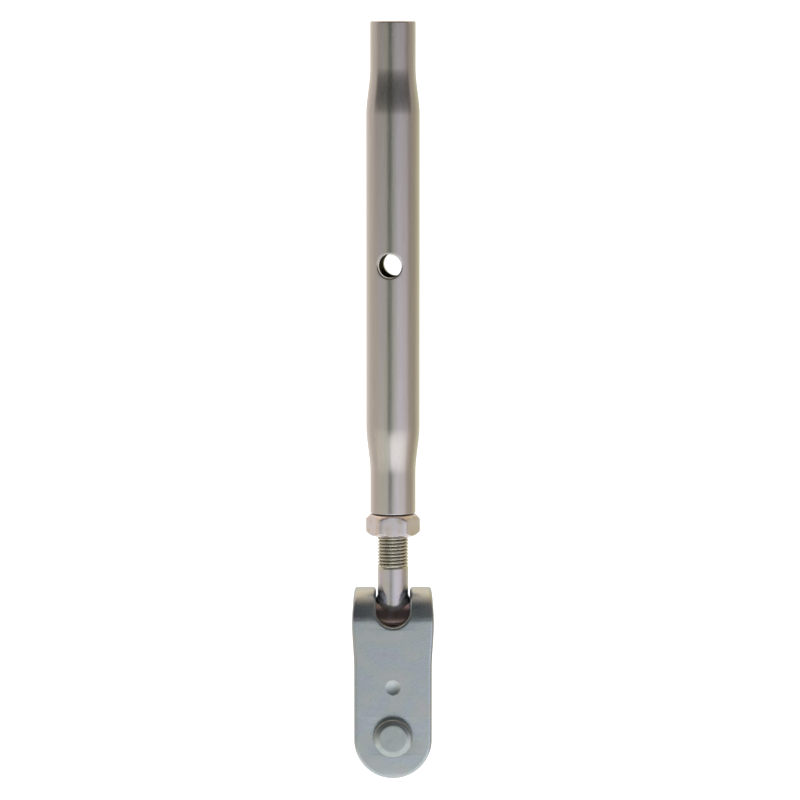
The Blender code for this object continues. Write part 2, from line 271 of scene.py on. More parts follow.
def thread_wave(height, turn, hand):
    """0 at a thread's root and 1 at its crest. Hand is 1 for right, -1 for left."""
    phase = height / THREAD_PITCH - hand * turn / (2 * math.pi)
    return min(1.25 * (0.5 - 0.5 * math.cos(2 * math.pi * phase)) ** 0.8, 1.0)


def new_steel(name):
    """A bare metal material, its node tree, its shader and a place on the piece in metres."""
    steel = bpy.data.materials.new(name)
    steel.use_nodes = True
    shader = steel.node_tree.nodes["Principled BSDF"]
    shader.inputs["Metallic"].default_value = 1.0
    place = add_node(steel.node_tree, "TexCoord").outputs["Object"]
    return steel, steel.node_tree, shader, place


def from_screw_axis(tree, place):
    """The parts of a place, and how far it lies from the screw's axis."""
    split = add_node(tree, "SeparateXYZ", {"Vector": place}).outputs
    level_place = add_node(tree, "CombineXYZ", {"X": split["X"], "Y": split["Y"]})
    away = add_node(tree, "VectorMath", {0: level_place.outputs[0]}, operation="LENGTH")
    return split, away.outputs["Value"]


def link_up(tree, shader, colour, gloss, relief):
    """Give a shader its colour, its roughness and its relief."""
    tree.links.new(colour.outputs["Color"], shader.inputs["Base Color"])
    tree.links.new(gloss.outputs["Result"], shader.inputs["Roughness"])
    tree.links.new(relief.outputs["Normal"], shader.inputs["Normal"])


def finished(name, shape, body, node, material, sharp_degrees=35):
    """The mesh as a smooth-shaded piece that rides on its body in place of its CAD node."""
    bmesh.ops.recalc_face_normals(shape, faces=shape.faces)
    mesh = bpy.data.meshes.new(name)
    shape.to_mesh(mesh)
    shape.free()
    mesh.shade_smooth()
    mesh.set_sharp_from_angle(angle=math.radians(sharp_degrees))
    mesh.materials.append(material)
    piece = bpy.data.objects.new(name, mesh)
    scene.collection.objects.link(piece)
    weighted = piece.modifiers.new("flat_faces_stay_flat", "WEIGHTED_NORMAL")
    weighted.keep_sharp = True
    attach(piece, body)
    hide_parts(node)
    return piece


def tube_outside():
    """Radius and height down the outside: rounded lip, neck, taper, tube, taper, neck, lip."""
    lip = 0.0005
    lip_turns = [math.radians(15 * step) for step in range(7)]
    upper_lip = [(NECK_RADIUS - lip + lip * math.sin(t), MOUTH_Z - lip + lip * math.cos(t))
                 for t in lip_turns]
    upper = [(NECK_RADIUS, MOUTH_Z - depth) for depth in run(0.003, UPPER_NECK, 5)]
    upper += [(NECK_RADIUS + (TUBE_RADIUS - NECK_RADIUS) * ease(share),
               MOUTH_Z - UPPER_NECK - TAPER * share) for share in run(0.0, 1.0, 20)]
    upper += [(TUBE_RADIUS, z) for z in run(MOUTH_Z - UPPER_NECK - TAPER, WINDOW_TOP, 16)]
    window = [(TUBE_RADIUS, z) for z in run(WINDOW_TOP, WINDOW_LOW, 2 * WINDOW_ROWS)]
    lower_taper = BODY_END_Z + LOWER_NECK + TAPER
    lower = [(TUBE_RADIUS, z) for z in run(WINDOW_LOW, lower_taper, 20)]
    lower += [(TUBE_RADIUS + (NECK_RADIUS - TUBE_RADIUS) * ease(share),
               lower_taper - TAPER * share) for share in run(0.0, 1.0, 20)]
    lower += [(NECK_RADIUS, z) for z in run(BODY_END_Z + LOWER_NECK, BODY_END_Z + 0.002, 5)]
    lower += [(radius, BODY_END_Z + MOUTH_Z - z) for radius, z in reversed(upper_lip)]
    first_row = len(upper_lip) + len(upper)
    return upper_lip + upper + window + lower, first_row + WINDOW_ROWS


def tube_inside():
    """Radius and height down the bore: chamfer, tapped neck, bore, tapped neck, chamfer."""
    chamfer = 0.0004
    thread_steps = round((TAPPED - chamfer) / THREAD_PITCH * THREAD_ROWS)
    step = TUBE_BORE_RADIUS - BORE_RADIUS
    upper = [(BORE_RADIUS + chamfer, MOUTH_Z)]
    upper += [(BORE_RADIUS, z) for z in run(MOUTH_Z - chamfer, MOUTH_Z - TAPPED, thread_steps)]
    upper += [(BORE_RADIUS, MOUTH_Z - TAPPED)]
    upper += [(TUBE_BORE_RADIUS, z) for z in run(MOUTH_Z - TAPPED - step, WINDOW_TOP, 14)]
    window = [(TUBE_BORE_RADIUS, z) for z in run(WINDOW_TOP, WINDOW_LOW, 2 * WINDOW_ROWS)]
    lower = [(TUBE_BORE_RADIUS, z) for z in run(WINDOW_LOW, BODY_END_Z + TAPPED + step, 18)]
    lower += [(TUBE_BORE_RADIUS, BODY_END_Z + TAPPED + step)]
    lower += [(BORE_RADIUS, z)
              for z in run(BODY_END_Z + TAPPED, BODY_END_Z + chamfer, thread_steps)]
    lower += [(BORE_RADIUS, BODY_END_Z + chamfer), (BORE_RADIUS + chamfer, BODY_END_Z)]
    return upper + window + lower, len(upper) + WINDOW_ROWS


def column_turn(column):
    """The drilled hole's centre is a quarter and three quarters of the way round."""
    return DRILL_TURN + (column / TUBE_COLUMNS - 0.25) * 2 * math.pi


outside, outside_middle = tube_outside()
inside, inside_middle = tube_inside()


def on_outside(column, row):
    radius, z = between(outside, row)
    turn = column_turn(column)
    return radius * math.cos(turn), radius * math.sin(turn), z


def on_inside(column, row):
    radius, z = between(inside, row)
    turn = column_turn(column)
    if abs(radius - BORE_RADIUS) < 1e-6:
        upper_end = z > (MOUTH_Z + BODY_END_Z) / 2
        depth = MOUTH_Z - z if upper_end else z - BODY_END_Z
        fade = ease(min(depth, TAPPED - depth) / THREAD_PITCH)
        hand = -1 if upper_end else 1
        radius += THREAD_DEPTH * fade * (1.0 - thread_wave(z, turn, hand))
    return radius * math.cos(turn), radius * math.sin(turn), z


def hole_edge(opening, middle_row, places_turns, radius, skin_radius):
    """Grid places of a drilled circle on a round skin, one for each turn round the hole."""
    middle_column = (opening[0] + opening[1]) / 2
    column_angle = 2 * math.pi / TUBE_COLUMNS
    return [(middle_column + math.asin(radius * math.cos(turn) / skin_radius) / column_angle,
             middle_row - radius * math.sin(turn) / WINDOW_STEP) for turn in places_turns]


def drill_ring(shape, direction, turns, radius, reach):
    """One ring of corners in the drilled hole. Reach gives how far out it lies, by sideways."""
    ahead = Vector((math.cos(direction), math.sin(direction), 0.0))
    sideways = Vector((-ahead.y, ahead.x, 0.0))
    ring = []
    for turn in turns:
        aside = radius * math.cos(turn)
        place = ahead * reach(aside) + sideways * aside
        ring.append(shape.verts.new((place.x, place.y, DRILL_Z + radius * math.sin(turn))))
    return ring


RIM, INNER_RIM = 0.00045, 0.00015        # rounding of the drilled hole's edges
shape = bmesh.new()
openings_out, openings_in = [], []
for centre in (TUBE_COLUMNS // 4, 3 * TUBE_COLUMNS // 4):
    sides = (centre - WINDOW_COLUMNS, centre + WINDOW_COLUMNS)
    openings_out.append((*sides, outside_middle - WINDOW_ROWS, outside_middle + WINDOW_ROWS))
    openings_in.append((*sides, inside_middle - WINDOW_ROWS, inside_middle + WINDOW_ROWS))
outer_skin = add_skin(shape, on_outside, TUBE_COLUMNS, len(outside) - 1, openings_out)
inner_skin = add_skin(shape, on_inside, TUBE_COLUMNS, len(inside) - 1, openings_in)
for row_out, row_in in ((0, 0), (len(outside) - 1, len(inside) - 1)):
    joined(shape, [outer_skin[column, row_out] for column in range(TUBE_COLUMNS)],
           [inner_skin[column, row_in] for column in range(TUBE_COLUMNS)])
for opening_out, opening_in, direction in zip(openings_out, openings_in,
                                              (DRILL_TURN, DRILL_TURN + math.pi)):
    middle_column = (opening_out[0] + opening_out[1]) / 2
    across = 2 * math.pi / TUBE_COLUMNS * TUBE_RADIUS
    turns = [math.atan2((outside_middle - row) * WINDOW_STEP, (column - middle_column) * across)
             for column, row in border(opening_out)]
    outer_edge = hole_edge(opening_out, outside_middle, turns, DRILL_RADIUS + RIM, TUBE_RADIUS)
    inner_edge = hole_edge(opening_in, inside_middle, turns, DRILL_RADIUS + INNER_RIM,
                           TUBE_BORE_RADIUS)
    last = add_window(shape, outer_skin, on_outside, opening_out, outer_edge, 6)
    for step in range(1, 6):
        bend = math.radians(18 * step)
        sink = RIM * (1 - math.cos(bend))
        ring = drill_ring(shape, direction, turns, DRILL_RADIUS + RIM * (1 - math.sin(bend)),
                          lambda aside: math.sqrt(TUBE_RADIUS ** 2 - aside ** 2) - sink)
        joined(shape, last, ring)
        last = ring
    for step in range(3, -1, -1):
        bend = math.radians(30 * step)
        sink = INNER_RIM * (1 - math.cos(bend))
        if step == 0:
            ring = add_window(shape, inner_skin, on_inside, opening_in, inner_edge, 6)
        else:
            ring = drill_ring(shape, direction, turns,
                              DRILL_RADIUS + INNER_RIM * (1 - math.sin(bend)),
                              lambda aside: math.sqrt(TUBE_BORE_RADIUS ** 2 - aside ** 2) + sink)
        joined(shape, last, ring)
        last = ring

# 316 stainless, drawn, swaged and polished lengthwise: soft bright stripes along the tube, with
# fine long lines, faint blotches where the polish varies, and painted shade darkening the bore and
# its threads.
polished_tube_steel, tree, shader, place = new_steel("polished_drawn_stainless_tube")
# Across the tube, from line to line and blotch to blotch; both run 40 times as long.
DRAW_LINE, BLOTCH, DRAWN_OUT = 0.00025, 0.0045, 40
along_tube = add_node(tree, "Mapping", {"Vector": place, "Scale": (1.0, 1.0, 1 / DRAWN_OUT)})
lines = add_node(tree, "TexNoise", {"Vector": along_tube.outputs[0], "Scale": 1 / DRAW_LINE,
                                    "Detail": 3.0, "Roughness": 0.6})
blotch = add_node(tree, "TexNoise", {"Vector": along_tube.outputs[0], "Scale": 1 / BLOTCH,
                                     "Detail": 2.0, "Roughness": 0.5})
tint = add_node(tree, "ValToRGB", {"Fac": blotch.outputs["Fac"]},
                stops=[(0.30, "#C9C6BC"), (0.5, "#CDC8C6"), (0.70, "#C9C6D0")])
line_tone = add_node(tree, "MapRange", {"Value": lines.outputs["Fac"], "From Min": 0.3,
                                        "From Max": 0.7, "To Min": 0.90, "To Max": 1.0})
steel = add_node(tree, "MixRGB", {"Fac": 1.0, "Color1": tint.outputs["Color"],
                                  "Color2": line_tone.outputs["Result"]}, blend_type="MULTIPLY")
split, from_axis = from_screw_axis(tree, place)
BORE_SHADE_FULL_WITHIN, BORE_SHADE_GONE_BEYOND = 0.0062, 0.0067      # from the screw's axis
# Painted shade: the bore and its threads, nearer the axis than the wall, are darkened to a dull
# grey-brown.
painted_bore_shade_mask = add_node(tree, "MapRange", {"Value": from_axis, "From Min": BORE_SHADE_FULL_WITHIN,
                                      "From Max": BORE_SHADE_GONE_BEYOND})
steel = add_node(tree, "MixRGB", {"Fac": painted_bore_shade_mask.outputs["Result"],
                                  "Color1": linear("#7D786C"), "Color2": steel.outputs["Color"]})
gloss = add_node(tree, "MapRange", {"Value": lines.outputs["Fac"], "From Min": 0.3,
                                    "From Max": 0.7, "To Min": 0.16, "To Max": 0.24})
relief = add_node(tree, "Bump", {"Height": lines.outputs["Fac"], "Strength": 0.10,
                                 "Distance": 0.00002})
link_up(tree, shader, steel, gloss, relief)

finished("body_tube_skin", shape, "body_tube", "body_tube", polished_tube_steel)


# ---- Locknut: a thin hexagon nut of stainless, turned with coned faces, milled and tapped to the
# right. It is run up hard against the body's lower end.

NUT_ACROSS_FLATS = 0.0147
NUT_TOP_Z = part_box("locknut")[1].z
NUT_LOW_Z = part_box("locknut")[0].z
NUT_COLUMNS = 96
NUT_TOP_CONE, NUT_LOW_CONE = math.radians(48), math.radians(38)
NUT_TOP_RING = NUT_ACROSS_FLATS / 2 - 0.0003
NUT_LOW_RING = NUT_ACROSS_FLATS / 2 - 0.0005
NUT_MOUTH = 0.0006
NUT_EDGE_ROW = 0.0004        # from each face's edge in to the next row, which keeps it flat
CORNER_EASE = 0.00012        # taken off the hexagon's corners, over 5 degrees each way
THREAD_MOUTH_ROWS = round((NUT_TOP_Z - NUT_LOW_Z - 2 * NUT_MOUTH) / THREAD_PITCH * THREAD_ROWS)


def nut_radius(turn):
    """From the axis to the hexagon's side, with a flat to the front and the corners eased."""
    off_flat = turn % math.radians(60) - math.radians(30)
    corner_ease = CORNER_EASE * ease(1 - (math.radians(30) - abs(off_flat)) / math.radians(5))
    return NUT_ACROSS_FLATS / 2 / math.cos(off_flat) - corner_ease


def nut_point(column, row):
    """Rows run from the bore over the top face, down the flats and in under the bottom face."""
    turn = column / NUT_COLUMNS * 2 * math.pi
    side = nut_radius(turn)
    top_edge = NUT_TOP_Z - (side - NUT_TOP_RING) * math.tan(NUT_TOP_CONE)
    low_edge = NUT_LOW_Z + (side - NUT_LOW_RING) * math.tan(NUT_LOW_CONE)
    soft = 0.0001
    section = [(BORE_RADIUS + NUT_MOUTH, NUT_TOP_Z), (NUT_TOP_RING - NUT_EDGE_ROW, NUT_TOP_Z),
               (NUT_TOP_RING - soft, NUT_TOP_Z), (NUT_TOP_RING + soft * 0.7, NUT_TOP_Z - soft * 0.8)]
    section += [(NUT_TOP_RING + (side - NUT_TOP_RING) * share,
                 NUT_TOP_Z + (top_edge - NUT_TOP_Z) * share) for share in (0.5, 0.93)]
    section += [(side, top_edge - soft)]
    section += [(side, top_edge + (low_edge - top_edge) * share) for share in (0.35, 0.65)]
    section += [(side, low_edge + soft)]
    section += [(NUT_LOW_RING + (side - NUT_LOW_RING) * share,
                 NUT_LOW_Z + (low_edge - NUT_LOW_Z) * share) for share in (0.93, 0.5)]
    section += [(NUT_LOW_RING + soft * 0.7, NUT_LOW_Z + soft * 0.8),
                (NUT_LOW_RING - soft, NUT_LOW_Z), (NUT_LOW_RING - NUT_EDGE_ROW, NUT_LOW_Z),
                (BORE_RADIUS + NUT_MOUTH, NUT_LOW_Z)]
    if row < len(section):
        radius, z = section[row]
    else:
        share = (row - len(section)) / THREAD_MOUTH_ROWS
        z = NUT_LOW_Z + NUT_MOUTH + (NUT_TOP_Z - NUT_LOW_Z - 2 * NUT_MOUTH) * share
        fade = ease(min(share, 1 - share) * 6)
        radius = BORE_RADIUS + THREAD_DEPTH * fade * (1.0 - thread_wave(z, turn, 1))
    return radius * math.cos(turn), radius * math.sin(turn), z


NUT_FACE_ROWS = 16
shape = bmesh.new()
nut_rows = NUT_FACE_ROWS + THREAD_MOUTH_ROWS
nut_skin = add_skin(shape, nut_point, NUT_COLUMNS, nut_rows)
joined(shape, [nut_skin[column, nut_rows] for column in range(NUT_COLUMNS)],
       [nut_skin[column, 0] for column in range(NUT_COLUMNS)])

# Turned and milled stainless, not polished: fine rings from the lathe on the coned faces, cutter
# lines up the flats, a warm satin white.
machined_nut_steel, tree, shader, place = new_steel("turned_and_milled_stainless_nut")
CUTTER_LINE, WARM_PATCH = 0.00022, 0.0025
up_flats = add_node(tree, "Mapping", {"Vector": place, "Scale": (0.15, 0.15, 1.0)})
cutter_lines = add_node(tree, "TexNoise", {"Vector": up_flats.outputs[0],
                                           "Scale": 1 / CUTTER_LINE, "Detail": 2.0})
patches = add_node(tree, "TexNoise", {"Vector": place, "Scale": 1 / WARM_PATCH, "Detail": 2.0})
nut_tint = add_node(tree, "ValToRGB", {"Fac": patches.outputs["Fac"]},
                    stops=[(0.32, "#D0C5BE"), (0.5, "#DAD3D2"), (0.68, "#D8D4DD")])
split, from_axis = from_screw_axis(tree, place)
# Painted shade: the tapped bore, nearer the axis than the faces, is darkened.
NUT_SHADE_FULL_WITHIN, NUT_SHADE_GONE_BEYOND = 0.0054, 0.0057    # from the screw's axis
painted_nut_thread_shade_mask = add_node(tree, "MapRange", {"Value": from_axis, "From Min": NUT_SHADE_FULL_WITHIN,
                                        "From Max": NUT_SHADE_GONE_BEYOND})
nut_tone = add_node(tree, "MixRGB", {"Fac": painted_nut_thread_shade_mask.outputs["Result"],
                                     "Color1": linear("#6E695E"),
                                     "Color2": nut_tint.outputs["Color"]})
nut_gloss = add_node(tree, "MapRange", {"Value": patches.outputs["Fac"], "From Min": 0.3,
                                        "From Max": 0.7, "To Min": 0.26, "To Max": 0.36})
relief = add_node(tree, "Bump", {"Height": cutter_lines.outputs["Fac"], "Strength": 0.25,
                                 "Distance": 0.00003})
link_up(tree, shader, nut_tone, nut_gloss, relief)

finished("locknut_hexagon", shape, "locknut", "locknut", machined_nut_steel, 24)


# ---- Stud: one forging, a 3/8 inch shank with a right-hand rolled thread above and a round
# T-head below, across the fork. The shank is upset into the head with a hollow all round it.

HEAD_Z = -0.1850             # the T-head's axis
HEAD_RADIUS = 0.0060
HEAD_HALF = 0.0110
STUD_TIP_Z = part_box("t_bolt")[1].z
CREST_RADIUS = STUD_RADIUS - 0.00004
THREAD_END_Z = -0.1693       # the thread runs out into the plain shank here
HEAD_COLUMNS = 40            # round the T-head
HOLLOW_REACH = 8             # columns and rows each way from the shank to the hollow's border
HEAD_ROW_STEP = 0.00098
HOLLOW_ALONG, HOLLOW_AROUND = 0.0060, 0.00535       # its foot on the head, from the screw's axis
HOLLOW_LOW, HOLLOW_RISE = 0.0049, 0.0030            # its lowest top over the head's axis


def head_section():
    """Radius and place along X: the head's rounded left end, its length and its right end."""
    round_over = 0.0010
    turns = [math.radians(18 * step) for step in range(6)]
    left = [(HEAD_RADIUS - round_over + round_over * math.sin(t),
             -HEAD_HALF + round_over - round_over * math.cos(t)) for t in turns]
    centres = [HEAD_ROW_STEP * step for step in range(-HOLLOW_REACH - 1, HOLLOW_REACH + 2)]
    right = [(radius, -x) for radius, x in reversed(left)]
    return left + [(HEAD_RADIUS, x) for x in centres] + right


head_profile = head_section()
head_middle = (len(head_profile) - 1) // 2


def on_head(column, row):
    radius, x = between(head_profile, row)
    turn = (column / HEAD_COLUMNS - 0.5) * 2 * math.pi
    return x, -radius * math.sin(turn), HEAD_Z + radius * math.cos(turn)


shape = bmesh.new()
hollow = (HEAD_COLUMNS // 2 - HOLLOW_REACH, HEAD_COLUMNS // 2 + HOLLOW_REACH,
          head_middle - HOLLOW_REACH, head_middle + HOLLOW_REACH)
head_skin = add_skin(shape, on_head, HEAD_COLUMNS, len(head_profile) - 1, [hollow])
column_angle = 2 * math.pi / HEAD_COLUMNS
shank_turns = [math.atan2(-HEAD_RADIUS * (column - HEAD_COLUMNS / 2) * column_angle,
                          (row - head_middle) * HEAD_ROW_STEP)
               for column, row in border(hollow)]
foot = [(HOLLOW_ALONG * math.cos(turn), HOLLOW_AROUND * math.sin(turn)) for turn in shank_turns]
foot_places = [(HEAD_COLUMNS / 2 + math.asin(-y / HEAD_RADIUS) / column_angle,
                head_middle + x / HEAD_ROW_STEP) for x, y in foot]
last = add_window(shape, head_skin, on_head, hollow, foot_places, 4)
foot_corners = [corner.co.copy() for corner in last]


def hollow_top(turn):
    """Height where the hollow meets the shank: higher at the sides, over the head's length."""
    return HEAD_Z + HOLLOW_LOW + HOLLOW_RISE * math.cos(turn) ** 2


HOLLOW_RINGS = 8
for ring in range(1, HOLLOW_RINGS + 1):
    share = ring / HOLLOW_RINGS
    corners = []
    for start, turn in zip(foot_corners, shank_turns):
        end = Vector((STUD_RADIUS * math.cos(turn), STUD_RADIUS * math.sin(turn),
                      hollow_top(turn)))
        inward = Vector((end.x - start.x, end.y - start.y, 0.0))
        inward.z = -start.y / (start.z - HEAD_Z) * inward.y
        upward = Vector((0.0, 0.0, end.z - start.z))
        cube, square = share ** 3, share ** 2
        point = (start * (2 * cube - 3 * square + 1) + inward * (cube - 2 * square + share)
                 + end * (3 * square - 2 * cube) + upward * (cube - square))
        corners.append(shape.verts.new(point))
    joined(shape, last, corners)
    last = corners

SHANK_FLAT_Z = HEAD_Z + 0.0098           # above this every ring is level
TIP_CHAMFER = 0.0010
thread_rows = round((STUD_TIP_Z - TIP_CHAMFER - THREAD_END_Z) / THREAD_PITCH * THREAD_ROWS)
shank_heights = [SHANK_FLAT_Z, THREAD_END_Z - 0.003, THREAD_END_Z]
shank_heights += [THREAD_END_Z + (STUD_TIP_Z - TIP_CHAMFER - THREAD_END_Z) * row / thread_rows
                  for row in range(1, thread_rows + 1)]
for z in shank_heights:
    run_out = ease((z - THREAD_END_Z) / (1.5 * THREAD_PITCH))
    corners = []
    for turn in shank_turns:
        root = STUD_RADIUS - THREAD_DEPTH * run_out * (1.0 - thread_wave(z, turn, 1))
        radius = min(root, STUD_RADIUS + (CREST_RADIUS - STUD_RADIUS) * run_out)
        corners.append(shape.verts.new((radius * math.cos(turn), radius * math.sin(turn), z)))
    joined(shape, last, corners)
    last = corners
for radius, z in ((CREST_RADIUS - TIP_CHAMFER * 0.75, STUD_TIP_Z),
                  (CREST_RADIUS * 0.4, STUD_TIP_Z)):
    corners = [shape.verts.new((radius * math.cos(turn), radius * math.sin(turn), z))
               for turn in shank_turns]
    joined(shape, last, corners)
    last = corners
shape.faces.new(last)
for row in (0, len(head_profile) - 1):
    rim = [head_skin[column, row] for column in range(HEAD_COLUMNS)]
    x = rim[0].co.x
    inner = [shape.verts.new((x, corner.co.y * 0.4, HEAD_Z + (corner.co.z - HEAD_Z) * 0.4))
             for corner in rim]
    joined(shape, rim, inner)
    shape.faces.new(inner)

# Forged and turned stainless with a rolled thread: bright burnished crests and roots darkened with
# painted shade, a polished shank, and a darker, browner head: its forging colour, with painted shade
# from lying under the fork's bend.
rolled_stud_steel, tree, shader, place = new_steel("forged_and_thread_rolled_stainless")
split, from_axis = from_screw_axis(tree, place)
TURNING_LINE, SMEAR = 0.00018, 0.003
turned_place = add_node(tree, "Mapping", {"Vector": place, "Scale": (0.2, 0.2, 1.0)})
turning_lines = add_node(tree, "TexNoise", {"Vector": turned_place.outputs[0],
                                            "Scale": 1 / TURNING_LINE, "Detail": 2.0})
smears = add_node(tree, "TexNoise", {"Vector": place, "Scale": 1 / SMEAR, "Detail": 3.0})
shank_tone = add_node(tree, "ValToRGB", {"Fac": smears.outputs["Fac"]},
                      stops=[(0.3, "#C6C3BC"), (0.5, "#CBC8CA"), (0.7, "#C8C4D2")])
# Painted shade: the thread darkens towards its roots.
thread_root_shade_depth = add_node(tree, "MapRange", {"Value": from_axis,
                                      "From Min": STUD_RADIUS - THREAD_DEPTH,
                                      "From Max": STUD_RADIUS - 0.0001})
thread_tone_with_root_shade = add_node(tree, "ValToRGB", {"Fac": thread_root_shade_depth.outputs["Result"]},
                       stops=[(0.0, "#858173"), (0.55, "#B4B09F"), (1.0, "#CFCCC0")])
above_run_out = add_node(tree, "MapRange", {"Value": split["Z"], "From Min": THREAD_END_Z - 0.0004,
                                            "From Max": THREAD_END_Z + 0.0006})
stud_tone = add_node(tree, "MixRGB", {"Fac": above_run_out.outputs["Result"],
                                      "Color1": shank_tone.outputs["Color"],
                                      "Color2": thread_tone_with_root_shade.outputs["Color"]})
# The head and the hollow round the shank are darker and browner: partly the forging's colour, partly
# painted shade from under the fork's bend.
below_shank = add_node(tree, "MapRange", {"Value": split["Z"], "From Min": HEAD_Z + 0.0085,
                                          "From Max": HEAD_Z + 0.0030,
                                          "To Min": 0.0, "To Max": 1.0})
head_forging_tone_and_shade = add_node(tree, "ValToRGB", {"Fac": smears.outputs["Fac"]},
                     stops=[(0.35, "#8F7B70"), (0.65, "#8E7B82")])
off_shank = add_node(tree, "MapRange", {"Value": from_axis,
                                        "From Min": STUD_RADIUS, "From Max": STUD_RADIUS + 0.0006})
head_forging_and_shade_mask = add_node(tree, "Math", {0: below_shank.outputs["Result"],
                                  1: off_shank.outputs["Result"]}, operation="MULTIPLY")
stud_tone = add_node(tree, "MixRGB", {"Fac": head_forging_and_shade_mask.outputs[0],
                                      "Color1": stud_tone.outputs["Color"],
                                      "Color2": head_forging_tone_and_shade.outputs["Color"]})
stud_gloss = add_node(tree, "MapRange", {"Value": smears.outputs["Fac"], "From Min": 0.3,
                                         "From Max": 0.7, "To Min": 0.18, "To Max": 0.30})
relief = add_node(tree, "Bump", {"Height": turning_lines.outputs["Fac"], "Strength": 0.15,
                                 "Distance": 0.00002})
link_up(tree, shader, stud_tone, stud_gloss, relief)

finished("t_bolt_forging", shape, "t_bolt", "t_bolt", rolled_stud_steel, 50)


# ---- Toggle fork: a thick stainless strap, blanked to its outline, slotted for the shank and
# drilled for the pin, tumbled until its edges are round, then bent to a U over the T-head.

STRAP_INSIDE, STRAP_OUTSIDE = 0.00635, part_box("toggle_fork")[1].y       # from the head's axis
STRAP_MIDDLE = (STRAP_INSIDE + STRAP_OUTSIDE) / 2
CROWN_TO_CHEEK = STRAP_MIDDLE * math.pi / 2        # along the strap, a quarter of the bend
HALF_CROWN, HALF_SHOULDER, HALF_CHEEK = 0.0119, 0.01265, 0.0120
SHOULDER_FADE = 0.0145
FORK_EDGE = 0.0010           # radius left by tumbling
SLOT_RADIUS = STUD_RADIUS + 0.00045                # the shank with clearance round it
SLOT_BELOW_HEAD_AXIS = 0.0013
PIN_Z = (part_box("clevis_pin")[0].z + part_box("clevis_pin")[1].z) / 2
PIN_HOLE_RADIUS = 0.0049
END_BELOW_PIN = 0.0011
BEND_STEPS = 40


def fork_half_width(along):
    """Half the strap's width, by the length along it from the crown."""
    below = abs(along) - CROWN_TO_CHEEK
    if below < 0.0:
        return HALF_SHOULDER + (HALF_CROWN - HALF_SHOULDER) * math.cos(along / STRAP_MIDDLE) ** 2
    return HALF_SHOULDER + (HALF_CHEEK - HALF_SHOULDER) * ease(below / SHOULDER_FADE)


def along_at_height(height):
    """Length along the strap from the crown, for a height on its outside over the head's axis."""
    if height < 0.0:
        return CROWN_TO_CHEEK - height
    return STRAP_MIDDLE * (math.pi / 2 - math.asin(height / STRAP_OUTSIDE))


def round_points(centre, radius, start, end, steps):
    """Points round an arc with both its ends, which are in degrees."""
    turns = [math.radians(start + (end - start) * step / steps) for step in range(steps + 1)]
    return [(centre[0] + radius * math.cos(t), centre[1] + radius * math.sin(t)) for t in turns]


end_along = CROWN_TO_CHEEK + (HEAD_Z - PIN_Z) + END_BELOW_PIN
sides = run(-end_along, end_along, 96)[1:]
blank = [(fork_half_width(along) - FORK_EDGE, along) for along in sides]
blank += round_points((0.0, end_along), HALF_CHEEK - FORK_EDGE, 0, 180, 40)
blank += [(-across, along) for across, along in reversed(blank[:len(sides)])]
blank += round_points((0.0, -end_along), HALF_CHEEK - FORK_EDGE, 180, 360, 40)

slot_half = SLOT_RADIUS + FORK_EDGE
slot_centre = SLOT_RADIUS - SLOT_BELOW_HEAD_AXIS
slot_end = [(across, along_at_height(height)) for across, height
            in round_points((0.0, slot_centre), slot_half, 0, -180, 24)]
slot = slot_end + [(-across, -along) for across, along in slot_end]
pin_along = CROWN_TO_CHEEK + HEAD_Z - PIN_Z
HOLE_POINTS = 48
holes = [round_points((0.0, side * pin_along), PIN_HOLE_RADIUS + FORK_EDGE,
                      360, 360 / HOLE_POINTS, HOLE_POINTS - 1) for side in (1, -1)]

strap_curve = bpy.data.curves.new("strap_blank", "CURVE")
strap_curve.dimensions = "2D"
strap_curve.fill_mode = "BOTH"
strap_curve.extrude = (STRAP_OUTSIDE - STRAP_INSIDE) / 2 - FORK_EDGE
strap_curve.bevel_depth = FORK_EDGE
strap_curve.bevel_resolution = 3
for outline in (blank, slot, *holes):
    line = strap_curve.splines.new("POLY")
    line.points.add(len(outline) - 1)
    for point, (across, along) in zip(line.points, outline):
        point.co = (across, along, 0.0, 1.0)
    line.use_cyclic_u = True
strap_object = bpy.data.objects.new("strap_blank", strap_curve)
scene.collection.objects.link(strap_object)
bpy.context.view_layer.update()
evaluated = strap_object.evaluated_get(bpy.context.evaluated_depsgraph_get())
shape = bmesh.new()
shape.from_mesh(bpy.data.meshes.new_from_object(evaluated))
bpy.data.objects.remove(strap_object, do_unlink=True)
bmesh.ops.remove_doubles(shape, verts=shape.verts, dist=0.000004)
cuts = [-CROWN_TO_CHEEK + 2 * CROWN_TO_CHEEK * step / BEND_STEPS for step in range(BEND_STEPS + 1)]
for along in cuts:
    bmesh.ops.bisect_plane(shape, geom=shape.verts[:] + shape.edges[:] + shape.faces[:],
                           dist=0.0000005, plane_co=(0.0, along, 0.0), plane_no=(0.0, 1.0, 0.0))


def bent(across, along, out):
    """A place on the flat strap, moved to where the bend carries it."""
    turn = min(max(along / STRAP_MIDDLE, -math.pi / 2), math.pi / 2)
    below = max(abs(along) - CROWN_TO_CHEEK, 0.0)
    radius = STRAP_MIDDLE + out
    return across, -radius * math.sin(turn), HEAD_Z + radius * math.cos(turn) - below


for corner in shape.verts:
    corner.co = bent(*corner.co)

